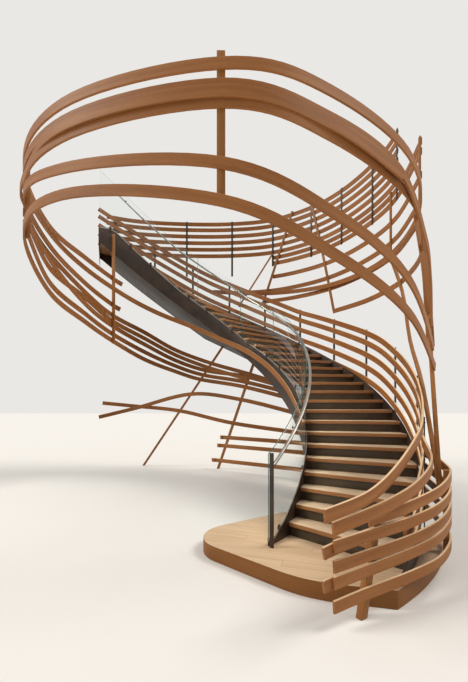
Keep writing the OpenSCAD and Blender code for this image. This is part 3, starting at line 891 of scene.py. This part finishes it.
lapped = (
    [pol(4173, 38, 1975), inside(PROP_2, 2495), inside(PROP_1, 2810), rim(118, 3140, 150)]
    + [rim(134, 3475, 60), at_end_hanger(3715), rim(165, 3980, 12), rim(185, 4260, 24)]
    + [rim(199, 4350, 24)],
    [inside(PROP_2, 2370), inside(PROP_1, 2700), rim(118, 3010, 150), rim(134, 3330, 60)]
    + [at_end_hanger(3590), rim(165, 3860), rim(185, 4010), rim(214, 4130)],
    [pol(4173, 38, 1860), inside(PROP_2, 2290), inside(PROP_1, 2505), rim(118, 2725, 150)]
    + [rim(134, 3000, 60), at_end_hanger(3300), rim(165, 3540), rim(185, 3760), rim(214, 3990)],
    [rim(308, 4075, 50), rim(290, 4210, 24), rim(271, 4312, 54), rim(240, 4375, 24)]
    + [rim(214, 4465, 24), rim(203, 4490, 24)],
)
bent_ribbons("lapped_ribbons", [curve(stations) for stations in lapped])
lath = [mm(4172, -1075, 2500), mm(4152, -1050, 3000), mm(4168, -930, 3600), rim(338, 4470, -62)]
bent_ribbons("right_lath", [curve(lath, 8)], over=(1, 0, 0))

# Guard of the upper floor: six ribbons over the floor edge and five under it, on steel posts
# and slanted oak laths, following the oval of the opening.

R_EDGE = R_RIB + RIB_T + 14
UPPER_ROWS = (110, 285, 460, 635, 810, 965)
LOWER_ROWS = ((-35, 16), (-180, 16), (-530, 16), (-890, 13), (-1160, 15))

# Pieces of the rim's curve in a quarter of the way from one station to the next.
QUARTER = 3

rim_stations = [pol(R_EDGE, 115), pol(R_EDGE, 103.5), mm(250, 4200, 0)]
rim_stations += [rim(a, 0, 30) for a in (90, 69, 49, 33, 16, 1, 341)]
rim_path = curve(rim_stations, 4 * QUARTER)


def rim_run(first, last, z):
    """The rim's line between two of its quarter stations, at a height over the floor."""
    up = Vector((0, 0, (TOP_Z + z) / 1000))
    return [p + up for p in rim_path[first * QUARTER : last * QUARTER + 1]]


bent_ribbons(
    "rim_ribbons_upper_bent",
    [rim_run(0, 32, z) for z in UPPER_ROWS],
    replaces="rim_ribbons_upper",
)
bent_ribbons(
    "rim_ribbons_lower_bent",
    [rim_run(first, 36, z) for z, first in LOWER_ROWS],
    replaces="rim_ribbons_lower",
)
dress("rim_posts", plate_steel, edge=0.0015)
dress("rim_laths", post_wood, edge=0.0025)

rim_bolts = []
for station in range(2, 9):
    i = station * 4 * QUARTER
    side = (rim_path[i + 1] - rim_path[i - 1]).cross(Vector((0, 0, 1))).normalized()
    for z in UPPER_ROWS + ((-35, -180) if station >= 4 else ()):
        middle = rim_path[i] + Vector((0, 0, (TOP_Z + z) / 1000))
        rim_bolts.append((middle - side * RIB_T / 2000, -side))
        rim_bolts.append((middle + side * (RIB_T / 2 + POST_T) / 1000, side))
bolt_heads("rim_bolts", rim_bolts)

# Props and lattice: three square oak props lean on the outer stringer, two slimmer ones stand
# right of the entry, and both carry the long ribbons. Shorter rows of ribbon are fixed across
# the near side of the three.

ROW_HEIGHTS, ROW_FALL, ROW_END = (230, 630, 850), 20, Vector((-0.15, 0.06, 0))

for part in ("back_props", "right_props"):
    dress(part, post_wood, edge=0.003)
lattice = [
    [mm(-2060, 4300, 1760), mm(-1300, 4500, 1680), inside(PROP_1, 1548)]
    + [inside(PROP_2, 1236), inside(PROP_3, 1050)],
    [mm(-2110, 4160, 1380), mm(-1190, 4440, 1620), inside(PROP_1, 2000)]
    + [inside(PROP_2, 1850), inside(PROP_3, 1500)],
] + [
    [inside(PROP_2, z) + ROW_END, inside(PROP_2, z), inside(PROP_3, z - ROW_FALL)]
    for z in ROW_HEIGHTS
]
rows = [curve(stations, 8) for stations in lattice]
bent_ribbons("lattice_ribbons_bent", rows, replaces="lattice_ribbons")

# Camera and light: a pale studio floor, wide soft lamps, and a level camera low in front of
# the entry that looks up the flight.

FLOOR_HALF, FLOOR_Z = 60.0, -0.001
ROOM_LIGHT, SEEN_LIGHT = 0.4, 0.44
LAMPS = (
    ("right_lamp", 1.6, Vector((-0.75, 0.05, -1.0))),
    ("left_lamp", 1.8, Vector((0.85, 0.12, -0.8))),
)
LAMP_SPREAD, LAMP_COLOUR = math.radians(22), (1.0, 0.95, 0.87)
FILM, WIDE_PX, HIGH_PX, FOCAL_PX = 36.0, 468.0, 682.0, 380.0
AHEAD_PX = (240.0, 403.0)  # where the point straight ahead of the eye falls in the picture
EYE = Vector((1.68, -6.04, 1.76))

floor_mesh = bpy.data.meshes.new("studio_floor")
floor_corners = [
    (x * FLOOR_HALF, y * FLOOR_HALF, FLOOR_Z) for x, y in ((-1, -1), (1, -1), (1, 1), (-1, 1))
]
floor_mesh.from_pydata(floor_corners, [], [(0, 1, 2, 3)])
floor = bpy.data.objects.new("studio_floor", floor_mesh)
bpy.context.scene.collection.objects.link(floor)
pale_floor, shader, f = new_finish("studio_floor")
mottle = f.cloud(f.place(), 2.0, 2.0, 0.5)
ground = f.paint((0.80, 0.79, 0.775, 1.0)).blend((0.77, 0.76, 0.745, 1.0), mottle)
feed(shader, "Base Color", ground)
shader.inputs["Roughness"].default_value = 0.7
floor_mesh.materials.append(pale_floor)

world = bpy.data.worlds.new("studio")
bpy.context.scene.world = world
world.use_nodes = True
w = Field(world.node_tree)
back = world.node_tree.nodes["Background"]
seen = w.node("ShaderNodeLightPath", out="Is Camera Ray")
glossy = w.node("ShaderNodeLightPath", out="Is Glossy Ray")
passing = w.node("ShaderNodeLightPath", out="Is Transmission Ray")
any_seen = seen.math("MAXIMUM", seen, glossy.math("MAXIMUM", glossy, passing))
feed(back, "Strength", ROOM_LIGHT + any_seen * SEEN_LIGHT)
back.inputs["Color"].default_value = (0.98, 0.96, 0.93, 1.0)

for name, power, heading in LAMPS:
    sun = bpy.data.lights.new(name, "SUN")
    sun.energy = power
    sun.angle = LAMP_SPREAD
    sun.color = LAMP_COLOUR
    lamp = bpy.data.objects.new(name, sun)
    lamp.rotation_euler = heading.to_track_quat("-Z", "Y").to_euler()
    bpy.context.scene.collection.objects.link(lamp)

camera = bpy.data.cameras.new("camera")
camera.sensor_width = FILM
camera.lens = FILM * FOCAL_PX / HIGH_PX
camera.shift_x = (WIDE_PX / 2 - AHEAD_PX[0]) / HIGH_PX
camera.shift_y = (AHEAD_PX[1] - HIGH_PX / 2) / HIGH_PX
camera.clip_end = 200.0
holder = bpy.data.objects.new("camera", camera)
holder.location = AXIS + EYE
holder.rotation_euler = (math.radians(90), 0, 0)
bpy.context.scene.collection.objects.link(holder)
bpy.context.scene.camera = holder
